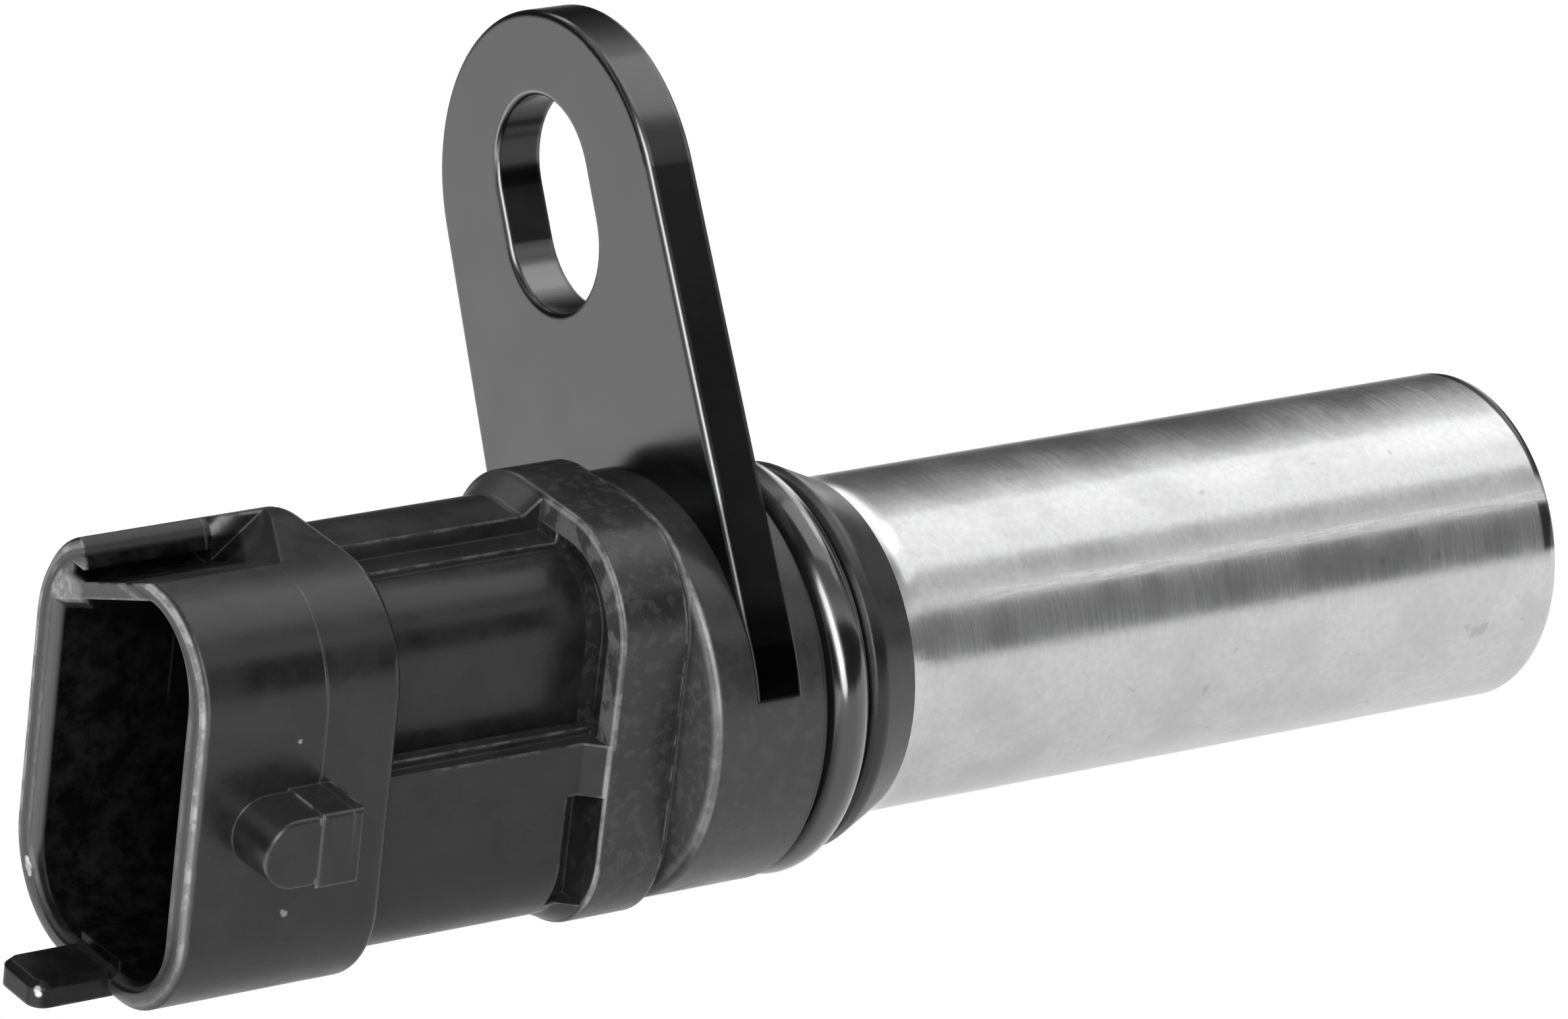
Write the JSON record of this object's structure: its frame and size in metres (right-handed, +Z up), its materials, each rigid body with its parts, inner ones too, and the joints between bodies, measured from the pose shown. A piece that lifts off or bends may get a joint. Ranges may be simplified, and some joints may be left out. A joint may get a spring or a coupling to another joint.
{
  "type": "crankshaft position sensor",
  "caption": "Inductive speed sensor: a long steel-sleeved round nose with a seal ring, a slotted flat bracket and a clocked plug-in connector with a coded mouth, tongue and latch nose.",
  "frame": {"origin": "on the sensor's axis, in the bracket's engine-side mounting face", "axes": "+X along the axis towards the nose's tip, +Z up the bracket towards its slot; the connector faces -X and is clocked 30 degrees about X"},
  "size_m": [0.0912, 0.0224, 0.0475],
  "materials": {
    "body": "satin moulded black, glass-filled",
    "bracket": "satin dark grey coating",
    "seal": "smooth, lightly oiled",
    "sleeve": "drawn bright, with fine lines round it",
    "terminal": "tinned",
    "carrier": "moulded black",
    "bobbin": "moulded",
    "copper": "enamelled copper wire",
    "tape": "smooth film",
    "iron": "turned",
    "magnet": "ground",
    "back_plate": "stamped",
    "post": "tinned",
    "resin": "cast"
  },
  "bodies": {
    "root": {"body_moulding": "body", "mounting_bracket": "bracket", "seal_ring": "seal", "nose_sleeve": "sleeve", "terminal_upper": "terminal", "terminal_screen": "terminal", "terminal_lower": "terminal", "terminal_carrier": "carrier", "coil_bobbin": "bobbin", "coil_winding": "copper", "winding_tape": "tape", "pole_pin": "iron", "magnet": "magnet", "back_plate": "back_plate", "winding_post_upper": "post", "winding_post_lower": "post", "potting_fill": "resin"}
  },
  "joints": []
}
